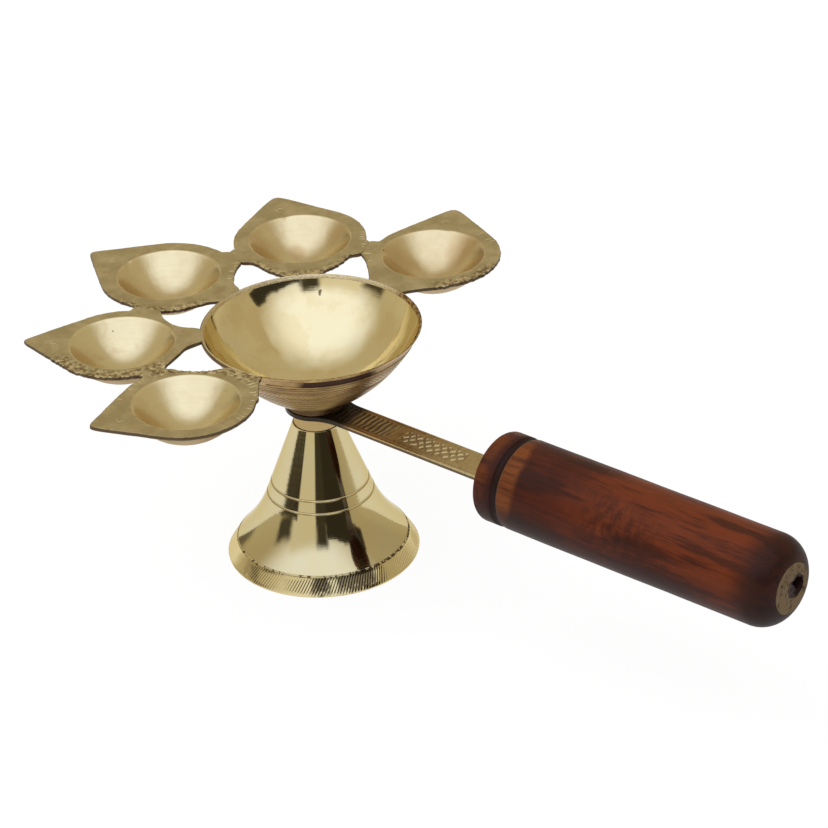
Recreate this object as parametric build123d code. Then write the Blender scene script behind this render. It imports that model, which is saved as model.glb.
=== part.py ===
from build123d import *
from math import acos, asin, atan, atan2, cos, degrees, hypot, radians, sin, sqrt, tan
import os

# Brass aarti lamp: a bowl with a fan of leaf-shaped wick cups, on a bell pedestal,
# with a flat arm and a turned wooden grip.
# Millimetres. The origin is the centre of the foot on the floor, +X runs to the grip and +Z is up.

# Pedestal, from the floor up
foot_radius = 29.5
foot_edge = 0.8  # broken edge at the floor
foot_land = 3.6  # width of the ring that stands on the floor
band_height = 5.7  # slanting band round the foot
band_top_radius = 26.4
flare_height = 15.3  # trumpet flare above the band
flare_top_radius = 16.6
cone_top_radius = 8.6
shoulder_height = 3.0
shoulder_top_radius = 7.4
collar_radius = 7.0
collar_height = 4.9
pedestal_height = 50.3
bell_wall = 2.4
nut_seat_height = 36.5  # roof of the hollow, where the washer seats
bell_groove_heights = (21.7, 25.4)
groove_radius = 0.4  # round-nosed turning tool

# Arm, clamped between the pedestal and the bowl
arm_thickness = 1.5
eye_radius = 9.4
eye_flare_radius = 15.0
strap_width = 11.4
tang_width = 8.0
tang_tip_width = 4.0
tang_length = 52.0

# Bowl
rim_radius = 33.2
rim_lip = 1.2  # flat land round the mouth
bowl_outer_depth = 24.4  # mouth to boss
bowl_floor = 4.4  # thickness over the boss
belly_depth = 10.0
bowl_wall = 1.96  # measured level, at the belly
boss_radius = 9.3
boss_height = 1.8

# Leaf fan
leaf_thickness = 2.0
cup_standoff = 23.4  # bowl rim to cup centre
cup_mouth_radius = 15.7
cup_depth = 9.5
cup_wall = 2.0
tip_reach = 29.9  # cup centre to leaf tip
tip_rounding = 0.8
neck_width = 15.0  # leaf to bowl
fan_flange = 1.3  # land between the bowl and the openings in the fan
web_reach = 23.3  # bowl rim to the outer edge of the webs that join the leaves
window_reach = 15.6  # bowl rim to the outer corner of the openings between leaves
window_half_angle = 12.6
window_rounding = 1.2
wick_groove_radius = 2.6
wick_groove_depth = 0.9
wick_groove_length = 4.5
# Leaves, filed by hand and so not quite alike
cup_bearings = (89.5, 134.5, 181.0, 226.0, 270.3)
tip_bearings = (116.0, 146.0, 186.5, 213.0, 243.5)
cup_offsets = (0.2, 0.2, 0.5, 0.1, -0.9)  # how far each cup lies outside the common ring
land_widths = (5.2, 5.7, 5.5, 5.3, 4.6)  # leaf outside the cup's mouth

# Wooden grip
grip_front = 71.2
grip_length = 103.3
grip_radius = 13.8
grip_front_rounding = 1.5
grip_groove_from_front = 7.8
grip_groove_width = 2.6
grip_groove_depth = 0.9
grip_end_rounding = 8.5  # along the axis
grip_end_disc_radius = 7.6
grip_end_hole_radius = 1.7
grip_end_hole_depth = 7.0

# Clamp: a stud in the bowl's boss, with a washer and a nut in the bell
stud_diameter = 6.0
stud_cover = 2.2  # brass left over the stud's end in the bowl
stud_tail = 2.5  # length below the tightened nut
stud_chamfer = 0.5
washer_diameter = 12.0
washer_thickness = 1.6
nut_width = 10.0  # across flats
nut_height = 5.0
nut_chamfer = 0.4

# Clearances
stud_running_clearance = 0.1  # radial, in the eye, the pedestal and the nut
washer_clearance = 0.3  # radial, round the stud
tang_clearance = 0.1  # each side of the tang in the grip

# Levels and radii that follow from the sizes above
arm_bottom = pedestal_height
arm_top = arm_bottom + arm_thickness
rim_height = arm_top + boss_height + bowl_outer_depth
leaf_underside = rim_height - leaf_thickness
grip_axis_height = arm_bottom + arm_thickness / 2
grip_end = grip_front + grip_length
cone_foot_height = band_height + flare_height
cone_top_height = pedestal_height - collar_height - shoulder_height
washer_underside = nut_seat_height - washer_thickness
nut_underside = washer_underside - nut_height
stud_radius = stud_diameter / 2
stud_hole_radius = stud_radius + stud_running_clearance
stud_grip = boss_height + bowl_floor - stud_cover
bowl_inner_depth = bowl_outer_depth - bowl_floor
cup_ring_radius = rim_radius + cup_standoff
web_outer_radius = rim_radius + web_reach
window_outer_radius = rim_radius + window_reach
leaves = list(zip(cup_bearings, cup_offsets, tip_bearings, land_widths))
cone_angle = atan2(flare_top_radius - cone_top_radius, cone_top_height - cone_foot_height)


def cap_radius(mouth, depth):
    # radius of the sphere whose cap has this mouth radius and depth
    return (mouth**2 + depth**2) / (2 * depth)


def polar(radius, bearing, height=0.0):
    return (radius * cos(radians(bearing)), radius * sin(radians(bearing)), height)


def turned(edges):
    # closes a half profile in the XZ plane and turns it about Z
    return revolve(make_face(edges), Axis.Z)


def profile(*points):
    # straight run through (radius, height) points
    return Polyline(*[(r, 0, z) for r, z in points])


def arc(start, middle, end):
    return ThreePointArc(*[(r, 0, z) for r, z in (start, middle, end)])


def flare_points(wall):
    # start, middle and end of the trumpet flare, a wall's depth under its outer face
    run = band_top_radius - flare_top_radius
    chord = hypot(run, flare_height)
    half_turn = atan2(run, flare_height) - cone_angle
    radius = chord / (2 * sin(half_turn))
    centre_r = flare_top_radius + radius * cos(cone_angle)
    centre_z = cone_foot_height + radius * sin(cone_angle)
    angles = [cone_angle + half_turn * step for step in (0, 1, 2)]
    return [(centre_r - (radius + wall) * cos(a), centre_z - (radius + wall) * sin(a)) for a in angles]


def cone_radius(height, wall=0.0):
    # radius of the bell's straight cone at a height, a wall's depth under its outer face
    return cone_top_radius + (cone_top_height - height) * tan(cone_angle) - wall / cos(cone_angle)


def make_pedestal():
    flare = flare_points(0)
    outside = [
        profile((0, 0), (foot_radius - foot_edge, 0), (foot_radius, foot_edge), flare[2]),
        arc(flare[2], flare[1], flare[0]),
        profile(
            flare[0],
            (cone_top_radius, cone_top_height),
            (shoulder_top_radius, cone_top_height + shoulder_height),
            (collar_radius, cone_top_height + shoulder_height),
            (collar_radius, pedestal_height),
            (0, pedestal_height),
            (0, 0),
        ),
    ]
    inner = flare_points(bell_wall)
    roof_edge = (cone_radius(nut_seat_height, bell_wall), nut_seat_height)
    hollow = [
        profile((0, 0), (foot_radius - foot_edge - foot_land, 0), inner[2]),
        arc(inner[2], inner[1], inner[0]),
        profile(inner[0], roof_edge, (0, nut_seat_height), (0, 0)),
    ]
    body = turned(outside) - turned(hollow)
    body -= Pos(0, 0, pedestal_height / 2) * Cylinder(stud_hole_radius, pedestal_height)
    for height in bell_groove_heights:
        body -= Pos(0, 0, height) * Torus(cone_radius(height), groove_radius)
    return body - Pos(0, 0, band_height) * Torus(band_top_radius, groove_radius)


def leaf_outline(tip_bearing, land):
    # a round about the cup, drawn out along its tangents to the tip
    edge = cup_mouth_radius + land
    half_angle = degrees(acos(edge / tip_reach))
    left = polar(edge, half_angle)
    right = polar(edge, -half_angle)
    tip = (tip_reach, 0, 0)
    face = make_face([ThreePointArc(left, (-edge, 0, 0), right), Polyline(right, tip, left)])
    face = fillet(face.vertices().sort_by(Axis.X)[-1], tip_rounding)
    return Rot(0, 0, tip_bearing) * face


def window_outline():
    # three-cornered opening between two leaves and the bowl, on the +X axis
    inner_radius = rim_radius + fan_flange
    low = polar(inner_radius, -window_half_angle)
    high = polar(inner_radius, window_half_angle)
    tip = (window_outer_radius, 0, 0)
    face = make_face([ThreePointArc(low, (inner_radius, 0, 0), high), Polyline(high, tip, low)])
    return fillet(face.vertices(), window_rounding)


def fan_outline():
    # leaves, their necks and the webs between them, with the windows open
    fan = Sketch()
    neck_start = rim_radius - rim_lip
    neck = Pos((neck_start + cup_ring_radius) / 2, 0) * Rectangle(cup_ring_radius - neck_start, neck_width)
    for bearing, off_ring, tip_bearing, land in leaves:
        fan += Pos(*polar(cup_ring_radius + off_ring, bearing)) * leaf_outline(tip_bearing, land)
        fan += Rot(0, 0, bearing) * neck
    first = leaves[0][0]
    last = leaves[-1][0]
    middle = (first + last) / 2
    web = [
        ThreePointArc(*[polar(web_outer_radius, b) for b in (first, middle, last)]),
        Line(polar(web_outer_radius, last), polar(neck_start, last)),
        ThreePointArc(*[polar(neck_start, b) for b in (last, middle, first)]),
        Line(polar(neck_start, first), polar(web_outer_radius, first)),
    ]
    fan += make_face(web)
    for leaf, following in zip(leaves, leaves[1:]):
        fan -= Rot(0, 0, (leaf[0] + following[0]) / 2) * window_outline()
    return fan


def make_cup(wall):
    # round-bottomed cup about Z, from its bottom up to the middle of the leaf plate
    top = -leaf_thickness / 2
    radius = cap_radius(cup_mouth_radius, cup_depth)
    centre = radius - cup_depth
    outer = radius + wall
    mouth = sqrt(outer**2 - (centre - top) ** 2)
    half = asin(mouth / outer) / 2
    middle = (outer * sin(half), centre - outer * cos(half))
    bottom = (0, centre - outer)
    return turned([arc(bottom, middle, (mouth, top)), profile((mouth, top), (0, top), bottom)])


def make_wick_groove():
    # shallow channel in the cup's lip on the +X side, running out to nothing
    slope = atan(wick_groove_depth / wick_groove_length)
    channel = Rot(0, 90, 0) * Cylinder(wick_groove_radius, 2 * wick_groove_length)
    lift = wick_groove_radius / cos(slope) - wick_groove_depth
    return Pos(cup_mouth_radius, 0, lift) * Rot(0, -degrees(slope), 0) * channel


def make_bowl_body():
    boss_top = arm_top + boss_height
    sphere = cap_radius(rim_radius - rim_lip, bowl_inner_depth)
    belly_radius = bowl_wall + sqrt(sphere**2 - (sphere - bowl_inner_depth + belly_depth) ** 2)
    rim = (rim_radius, rim_height)
    belly = (belly_radius, rim_height - belly_depth)
    waist = (boss_radius, boss_top)
    return turned(
        [
            profile((0, arm_top), (boss_radius, arm_top), waist),
            arc(waist, belly, rim),
            profile(rim, (0, rim_height), (0, arm_top)),
        ]
    )


def make_lamp_head():
    head = make_bowl_body() + Pos(0, 0, leaf_underside) * extrude(fan_outline(), leaf_thickness)
    cup_sphere = cap_radius(cup_mouth_radius, cup_depth)
    for bearing, off_ring, tip_bearing, _ in leaves:
        place = Pos(*polar(cup_ring_radius + off_ring, bearing, rim_height)) * Rot(0, 0, tip_bearing)
        head += place * make_cup(cup_wall)
        head -= place * Pos(0, 0, cup_sphere - cup_depth) * Sphere(cup_sphere)
        head -= place * make_wick_groove()
    bowl_sphere = cap_radius(rim_radius - rim_lip, bowl_inner_depth)
    head -= Pos(0, 0, rim_height - bowl_inner_depth + bowl_sphere) * Sphere(bowl_sphere)
    return head - Pos(0, 0, arm_top + stud_grip / 2) * Cylinder(stud_radius, stud_grip)


def tang_outline(slack):
    # tapering tang from the grip's front face inwards
    root = tang_width / 2 + slack
    tip = tang_tip_width / 2 + slack
    end = grip_front + tang_length + slack
    corners = [(grip_front, root), (end, tip), (end, -tip), (grip_front, -root)]
    return make_face(Polyline(*corners, close=True))


def make_handle_arm():
    half = strap_width / 2
    flare_y = half + eye_flare_radius
    flare_x = sqrt((eye_radius + eye_flare_radius) ** 2 - flare_y**2)
    share = eye_radius / (eye_radius + eye_flare_radius)
    turn = atan2(flare_y, flare_x)
    mid_angle = (turn + radians(90)) / 2
    on_eye = (flare_x * share, flare_y * share)
    on_flare = (flare_x - eye_flare_radius * cos(mid_angle), flare_y - eye_flare_radius * sin(mid_angle))
    on_strap = (flare_x, half)

    def below(point):
        return (point[0], -point[1])

    outline = make_face(
        [
            ThreePointArc(on_eye, (-eye_radius, 0), below(on_eye)),
            ThreePointArc(below(on_eye), below(on_flare), below(on_strap)),
            Polyline(below(on_strap), (grip_front, -half), (grip_front, half), on_strap),
            ThreePointArc(on_strap, on_flare, on_eye),
        ]
    )
    outline += tang_outline(0)
    outline -= Circle(stud_hole_radius)
    return Pos(0, 0, arm_bottom) * extrude(outline, arm_thickness)


def make_wooden_grip():
    # profile along X, turned about the grip's axis
    corner = grip_front_rounding * (1 - cos(radians(45)))
    groove = grip_front + grip_groove_from_front
    half_groove = grip_groove_width / 2
    end_start = grip_end - grip_end_rounding
    front_edge = (grip_front, grip_radius - grip_front_rounding)
    front_top = (grip_front + grip_front_rounding, grip_radius)
    groove_start = (groove - half_groove, grip_radius)
    groove_end = (groove + half_groove, grip_radius)
    end_edge = (grip_end, grip_end_disc_radius)
    edges = [
        Polyline((grip_front, 0), front_edge),
        ThreePointArc(front_edge, (grip_front + corner, grip_radius - corner), front_top),
        Polyline(front_top, groove_start),
        ThreePointArc(groove_start, (groove, grip_radius - grip_groove_depth), groove_end),
        Polyline(groove_end, (end_start, grip_radius)),
        TangentArc((end_start, grip_radius), end_edge, tangent=(1, 0)),
        Polyline(end_edge, (grip_end, 0), (grip_front, 0)),
    ]
    wood = revolve(make_face(edges), Axis.X)
    hole = Pos(grip_end - grip_end_hole_depth / 2, 0, 0) * Rot(0, 90, 0)
    wood -= hole * Cylinder(grip_end_hole_radius, grip_end_hole_depth)
    slot_height = arm_thickness + 2 * tang_clearance
    wood -= Pos(0, 0, -slot_height / 2) * extrude(tang_outline(tang_clearance), slot_height)
    return Pos(0, 0, grip_axis_height) * wood


def make_clamp_stud():
    bottom = nut_underside - stud_tail
    length = arm_top + stud_grip - bottom
    stud = Pos(0, 0, bottom + length / 2) * Cylinder(stud_radius, length)
    return chamfer(stud.edges().filter_by(GeomType.CIRCLE), stud_chamfer)


def make_clamp_washer():
    ring = Circle(washer_diameter / 2) - Circle(stud_radius + washer_clearance)
    return Pos(0, 0, washer_underside) * extrude(ring, washer_thickness)


def make_clamp_nut():
    hexagon = RegularPolygon(nut_width / 2, 6, major_radius=False)
    nut = extrude(hexagon, nut_height)
    corner = nut_width / 2 / cos(radians(30))
    rounded = Pos(0, 0, nut_height / 2) * Cylinder(corner, nut_height)
    nut &= chamfer(rounded.edges().filter_by(GeomType.CIRCLE), nut_chamfer)
    nut -= Pos(0, 0, nut_height / 2) * Cylinder(stud_hole_radius, nut_height)
    return Pos(0, 0, nut_underside) * nut


pieces = {
    "pedestal": make_pedestal(),
    "lamp_head": make_lamp_head(),
    "handle_arm": make_handle_arm(),
    "wooden_grip": make_wooden_grip(),
    "clamp_stud": make_clamp_stud(),
    "clamp_washer": make_clamp_washer(),
    "clamp_nut": make_clamp_nut(),
}
os.makedirs("parts", exist_ok=True)
for name, shape in pieces.items():
    export_step(shape, f"parts/{name}.step")
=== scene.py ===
from math import acos, asin, atan2, cos, exp, hypot, pi, radians, sin, sqrt, tan

import bmesh
import bpy
from mathutils import Matrix, Vector, noise


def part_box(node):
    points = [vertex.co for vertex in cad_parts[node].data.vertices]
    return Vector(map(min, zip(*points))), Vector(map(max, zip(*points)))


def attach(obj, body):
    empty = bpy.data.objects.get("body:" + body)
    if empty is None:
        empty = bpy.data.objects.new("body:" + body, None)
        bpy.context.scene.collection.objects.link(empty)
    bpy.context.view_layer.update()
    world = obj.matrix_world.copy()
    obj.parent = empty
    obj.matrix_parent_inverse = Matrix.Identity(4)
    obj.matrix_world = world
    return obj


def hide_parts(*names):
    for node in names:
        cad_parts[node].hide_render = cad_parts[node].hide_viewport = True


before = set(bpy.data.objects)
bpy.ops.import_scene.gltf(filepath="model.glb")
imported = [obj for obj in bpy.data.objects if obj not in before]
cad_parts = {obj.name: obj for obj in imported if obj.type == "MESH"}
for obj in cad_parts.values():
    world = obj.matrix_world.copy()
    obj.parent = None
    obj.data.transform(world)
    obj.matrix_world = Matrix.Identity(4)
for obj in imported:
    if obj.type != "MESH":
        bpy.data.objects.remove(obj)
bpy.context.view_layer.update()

mm = 0.001  # the pieces are modelled in millimetres and scaled at the end
print("frame loaded:", ", ".join(sorted(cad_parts)))


def addObject(name, data):
    made = bpy.data.objects.new(name, data)
    bpy.context.scene.collection.objects.link(made)
    return made


def meshFrom(name, bm):
    mesh = bpy.data.meshes.new(name)
    bm.to_mesh(mesh)
    bm.free()
    return mesh


def nodeSpan(name):
    low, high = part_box(name)
    return low / mm, high / mm


rimHeight = nodeSpan("lamp_head")[1].z
armBottom = nodeSpan("handle_arm")[0].z
armTop = nodeSpan("handle_arm")[1].z
gripFront = nodeSpan("wooden_grip")[0].x
gripEnd = nodeSpan("wooden_grip")[1].x
gripAxis = (armBottom + armTop) / 2
nutSeat = nodeSpan("clamp_washer")[1].z

# Camera, at the photograph's place

photoView = {
    "azimuth": 40.827,  # degrees
    "elevation": 30.189,
    "roll": -2.521,
    "distance": 1160.1,  # mm from the target
    "target": (38.98, 0.01, 60.74),
    "lens": 170.76,  # mm
    "sensor": 36,  # mm
    "clip": (0.05, 40),  # m
}


def makeCamera(view):
    turn, lift, roll = (radians(view[key]) for key in ("azimuth", "elevation", "roll"))
    back = Vector((sin(turn) * cos(lift), -cos(turn) * cos(lift), sin(lift)))
    level = Vector((cos(turn), sin(turn), 0))
    upright = back.cross(level)
    right = level * cos(roll) + upright * sin(roll)
    top = upright * cos(roll) - level * sin(roll)
    axes = Matrix((right, top, back)).transposed().to_4x4()
    camera = addObject("photoCamera", bpy.data.cameras.new("photoCamera"))
    camera.data.lens = view["lens"]
    camera.data.sensor_width = view["sensor"]
    camera.data.clip_start, camera.data.clip_end = view["clip"]
    place = Vector(view["target"]) * mm + back * view["distance"] * mm
    camera.matrix_world = Matrix.Translation(place) @ axes
    bpy.context.scene.camera = camera


makeCamera(photoView)
print("camera placed")

# Shader maths


class Paint:  # one socket of a shader, so that shader maths reads as plain sums
    def __init__(self, tree, socket=None):
        self.tree = tree
        self.socket = socket

    def node(self, kind, settings, sockets, out=0):
        made = self.tree.nodes.new("ShaderNode" + kind)
        for name, value in settings.items():
            setattr(made, name, value)
        for name, value in sockets.items():
            plug(made, name, value)
        return Paint(self.tree, made.outputs[out])

    def maths(self, operation, *terms):
        return self.node("Math", {"operation": operation}, dict(enumerate(terms)))

    def __add__(self, other):
        return self.maths("ADD", self, other)

    def __sub__(self, other):
        return self.maths("SUBTRACT", self, other)

    def __rsub__(self, other):
        return self.maths("SUBTRACT", other, self)

    def __mul__(self, other):
        return self.maths("MULTIPLY", self, other)

    def __abs__(self):
        return self.maths("ABSOLUTE", self)

    __radd__ = __add__
    __rmul__ = __mul__


def plug(node, name, value):
    if isinstance(value, Paint):
        value.tree.links.new(value.socket, node.inputs[name])
    else:
        node.inputs[name].default_value = value


def ease(value, low, high):
    steps = {"Value": value, "From Min": low, "From Max": high}
    return value.node("MapRange", {"interpolation_type": "SMOOTHSTEP"}, steps)


def between(value, low, high, soft):
    return ease(value, low - soft, low + soft) * (1 - ease(value, high - soft, high + soft))


def patchesAt(bearing, patches):  # painted dark reflection patches: share, bearings and softness of each
    return sum(share * between(bearing, *patch) for share, *patch in patches)


def most(first, *others):
    for other in others:
        first = first.maths("MAXIMUM", first, other)
    return first


def distance(x, y):
    return x.maths("SQRT", x * x + y * y)


def bearingOf(y, x):
    return y.maths("ARCTAN2", y, x) * (180 / pi)


def mixColour(share, first, second):
    return share.node("Mix", {"data_type": "RGBA"}, {0: share, 6: first, 7: second}, 2)


def layered(palette, ground, *coats):  # lays shares of a palette's colours one over the other
    colour = palette[ground]
    for share, name in coats:
        colour = mixColour(share, colour, palette[name])
    return colour


def axesOf(vector):
    return [vector.node("SeparateXYZ", {}, {0: vector}, i) for i in range(3)]


def attribute(paint, name, out="Fac"):
    return paint.node("Attribute", {"attribute_name": name}, {}, out)


def grain(vector, scale, detail=2.0, rough=0.5, stretch=(1, 1, 1)):
    sized = vector.node("Mapping", {}, {"Vector": vector, "Scale": stretch})
    sockets = {"Vector": sized, "Scale": scale, "Detail": detail, "Roughness": rough}
    return vector.node("TexNoise", {}, sockets)


def rgb(red, green, blue):
    return (red, green, blue, 1.0)


def newFinish(name):
    finish = bpy.data.materials.new(name)
    finish.use_nodes = True
    start = Paint(finish.node_tree)
    place = start.node("TexCoord", {}, {}, "Object")
    place = start.node("VectorMath", {"operation": "SCALE"}, {0: place, "Scale": 1 / mm})
    return finish, place


def finished(finish, colour, metallic, roughness, height, others=()):  # height of the bump in mm
    bump = height.node("Bump", {}, {"Height": height, "Strength": 1.0, "Distance": mm})
    sockets = {"Base Color": colour, "Metallic": metallic, "Roughness": roughness, "Normal": bump}
    sockets.update(others)
    for name, value in sockets.items():
        plug(finish.node_tree.nodes["Principled BSDF"], name, value)
    return finish


# Finishes

brass = {
    "bright": rgb(0.80, 0.67, 0.37),
    "pale": rgb(0.79, 0.69, 0.42),
    "cup": rgb(0.73, 0.61, 0.36),
    "cast": rgb(0.54, 0.43, 0.215),
    "castLight": rgb(0.66, 0.54, 0.29),
    "leaf": rgb(0.48, 0.39, 0.20),
    "leafLight": rgb(0.63, 0.525, 0.295),
    "bell": rgb(0.63, 0.53, 0.295),
    "bellPale": rgb(0.62, 0.545, 0.335),
    "footBand": rgb(0.71, 0.595, 0.325),
    "bronze": rgb(0.53, 0.355, 0.15),
    "umber": rgb(0.34, 0.21, 0.083),
    "collar": rgb(0.44, 0.32, 0.145),
    "stain": rgb(0.52, 0.34, 0.15),
    "brown": rgb(0.44, 0.26, 0.095),
    "tarnish": rgb(0.20, 0.11, 0.042),
    # grime in pits, also used for painted shade and painted dark reflections
    "grimeShadeAndReflection": rgb(0.045, 0.024, 0.013),
    # painted shadow under the bowl
    "shadowBlack": rgb(0.012, 0.008, 0.006),
    # old oil, also used for painted shade and painted dark reflections
    "oldOilShadeAndReflection": rgb(0.058, 0.024, 0.014),
    "edgeTint": rgb(0.84, 0.77, 0.57),  # keeps the brass yellow where it is seen at a slant
}


def polishedBrass():
    finish, place = newFinish("polishedBrass")
    x, y, z = axesOf(place)
    rings = grain(place, 1.6, 3.0, 0.6, (0.02, 0.02, 1.0))  # fine turning marks
    smears = grain(place, 0.09, 3.0, 0.6)
    streaks = grain(place, 0.8, 3.0, 0.6, (1.0, 1.0, 0.12))
    dashes = grain(place, 0.7, 2.0, 0.5)
    bearing = bearingOf(y, x)
    collarFoot = armBottom - bell["collarHeight"]
    bandTop = bell["bandHeight"]
    collar = ease(z, collarFoot - 0.5, collarFoot + 0.2)
    band = 1 - ease(z, bandTop - 0.5, bandTop - 0.1)
    dirty = 0.42 + 0.12 * between(bearing, *bell["grimySide"])  # more grime is left on one side
    line = between(z, bandTop - 0.4, bandTop + 0.25, 0.12) * ease(dirty - dashes, -0.03, 0.03)
    drift = bearing + 16 * (smears - 0.5)
    # painted dark reflections on the foot band, drawn in the grime colour
    bandReflection = patchesAt(drift, bell["reflectionPatches"]) * band * ease(dashes + 0.12 * z, 0.45, 0.85)
    colour = layered(
        brass, "bell",
        (ease(smears, 0.35, 0.75), "bellPale"),
        (band, "footBand"),
        (collar, "collar"),
        (collar * ease(streaks, 0.45, 0.7) * 0.55, "stain"),
        (collar * ease(rings, 0.56, 0.7) * 0.5, "brown"),
        (line * 0.9, "grimeShadeAndReflection"),
        (bandReflection * 0.8, "grimeShadeAndReflection"),
    )
    relief = rings * (0.008 + 0.05 * collar)
    roughness = 0.05 + 0.05 * smears + 0.2 * collar + 0.05 * band
    return finished(finish, colour, 1.0, roughness, relief, {"Specular Tint": brass["edgeTint"]})


def rawBrass():  # the bell's hollow, as cast and roughly turned
    finish, place = newFinish("rawBrass")
    skin = grain(place, 0.9, 5.0, 0.65)
    rings = grain(place, 1.1, 2.0, 0.5, (0.03, 0.03, 1.0))
    stain = grain(place, 0.12, 4.0, 0.6)
    colour = layered(brass, "cast", (ease(stain, 0.35, 0.7), "brown"))
    return finished(finish, colour, 1.0, 0.42 + 0.2 * skin, skin * 0.12 + rings * 0.1)


def bowlBrass():  # polished inside of the bowl
    finish, place = newFinish("bowlBrass")
    rings = grain(place, 1.2, 3.0, 0.6, (0.05, 0.05, 1.0))
    smears = grain(place, 0.08, 4.0, 0.6)
    dents = grain(place, 0.06, 2.0, 0.5)
    pits = ease(grain(place, 0.2, 1.0, 0.4), 0.80, 0.82)
    colour = layered(
        brass, "bright",
        (ease(smears, 0.3, 0.65), "pale"),
        (ease(smears, 0.52, 0.40) * 0.35, "castLight"),
        (pits * 0.8, "grimeShadeAndReflection"),
    )
    return finished(finish, colour, 1.0, 0.04 + 0.07 * smears, rings * 0.012 + dents * 0.45)


def rimBrass():  # unpolished land of the bowl's rim: brown, but cast like the leaves between them
    finish, place = newFinish("rimBrass")
    x = axesOf(place)[0]
    skin = grain(place, 1.5, 4.0, 0.65)
    dots = grain(place, 0.8, 2.0, 0.5)
    inFan = 1 - ease(x, 5.5, 9.5)
    colour = layered(
        brass, "tarnish",
        (ease(dots, 0.4, 0.6), "stain"),
        (ease(skin, 0.54, 0.66) * 0.7, "castLight"),
        (inFan * (0.7 + 0.3 * ease(skin, 0.4, 0.55)), "cup"),
    )
    return finished(finish, colour, 1.0, 0.3 + 0.2 * skin, skin * 0.2 + dots * 0.15)


def engravedBrass():  # outside of the bowl
    finish, place = newFinish("engravedBrass")
    x, y, z = axesOf(place)
    cut = attribute(place, "cut")
    skin = grain(place, 1.4, 4.0, 0.6)
    stain = grain(place, 0.17, 4.0, 0.6)
    scratches = grain(place, 1.0, 3.0, 0.6, (0.12, 0.12, 1.6))
    depth = rimHeight - z
    bearing = bearingOf(y, x) + 14 * (stain - 0.5)
    top, bottom = bowl["recess"]
    # painted dark reflection in the recess under the rim
    recessReflection = between(depth, top, bottom, 0.15) * patchesAt(bearing, bowl["reflectionPatches"])
    # painted shade at the bowl's foot, where it meets the arm
    boss = ease(depth, bowl["outerDepth"] - 1.2, bowl["outerDepth"] - 0.2) * 0.75
    wall = ease(depth, top, top - 0.2) * ease(x, 7, 3)  # the thin edge between the leaves
    # oil in the engraving, with the painted shade at the boss and the painted reflection in the recess
    dirtShadeAndReflection = most(recessReflection, boss, cut * (0.45 + 0.6 * skin), wall * 0.8)
    colour = layered(
        brass, "umber",
        (ease(stain, 0.3, 0.65), "bronze"),
        (ease(scratches, 0.46, 0.62) * 0.4, "tarnish"),
        (ease(skin, 0.52, 0.64) * 0.45, "cast"),
        (dirtShadeAndReflection, "oldOilShadeAndReflection"),
    )
    relief = skin * 0.06 + scratches * 0.1
    others = {"Specular IOR Level": 0.05}
    return finished(finish, colour, 1 - 0.8 * dirtShadeAndReflection, 0.27 + 0.15 * skin, relief, others)


def leafBrass():  # rough cast leaves
    finish, place = newFinish("leafBrass")
    x, y, z = axesOf(attribute(place, "leafPlace", "Vector"))
    cut = attribute(place, "cut")
    rugged = attribute(place, "rugged")
    edge = attribute(place, "edge")
    skin = grain(place, 1.7, 5.0, 0.65)
    lumps = grain(place, 0.75, 3.0, 0.6)
    patches = grain(place, 0.14, 4.0, 0.6)
    blots = grain(place, 0.3, 4.0, 0.65)
    pits = ease(grain(place, 0.9, 2.0, 0.5), 0.74, 0.80)
    low = ease(z, -0.9, -1.2)  # underside, drawn browner as painted shade
    markX = x - leaves["curl"][0] + 1.4 * patches
    markY = y - leaves["curl"][1]
    curl = between(distance(markX, markY), *leaves["curlRadii"], 0.15)
    curl = curl * ease(y + markX, 0.2, 0.8) * (1 - low)  # engraver's small curl by the tip
    colour = layered(
        brass, "leaf",
        (ease(patches, 0.35, 0.7), "leafLight"),
        (ease(skin, 0.56, 0.72) * 0.4, "leafLight"),
        (ease(blots, 0.54, 0.70) * 0.35, "brown"),
        (rugged * ease(lumps, 0.50, 0.40) * 0.8, "tarnish"),
        (rugged * ease(lumps, 0.52, 0.62) * 0.8, "bright"),
        (most(curl * 0.6, cut * 0.9), "pale"),
        (pits * 0.8, "grimeShadeAndReflection"),
        # painted shade on the underside
        (low * 0.5, "brown"),
        # painted shade along the lower edge of the plate
        (edge * 0.85, "oldOilShadeAndReflection"),
    )
    relief = skin * 0.12 + lumps * rugged * 0.3 - pits * 0.15 - curl * 0.12
    roughness = 0.34 + 0.16 * skin + 0.1 * low - 0.12 * cut
    return finished(finish, colour, 1 - 0.6 * edge, roughness, relief, {"Specular IOR Level": 0.1})


def cupBrass():  # turned and rubbed insides of the wick cups
    finish, place = newFinish("cupBrass")
    local = attribute(place, "leafPlace", "Vector")
    stained = attribute(place, "cut")
    x, y = axesOf(local)[:2]
    ring = place.node("CombineXYZ", {}, {0: distance(x, y), 2: grain(local, 0.05) * 3})
    rings = grain(ring, 1.3, 3.0, 0.7)
    cloud = grain(place, 0.11, 3.0, 0.6)
    blotch = grain(place, 0.09, 3.0, 0.7)
    pits = ease(grain(place, 0.35, 1.0, 0.4), 0.78, 0.81)
    colour = layered(
        brass, "pale",
        (0.4 + 0.4 * ease(cloud, 0.4, 0.7), "cup"),
        (ease(rings, 0.4, 0.65) * 0.15, "castLight"),
        (ease(blotch, 0.56, 0.75) * 0.45, "stain"),
        (ease(stained + 0.5 * (cloud - 0.5), 0.1, 0.9) * 0.7, "stain"),
        (pits * 0.8, "grimeShadeAndReflection"),
    )
    return finished(finish, colour, 1.0, 0.19 + 0.1 * cloud, rings * 0.018 + cloud * 0.15)


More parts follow.
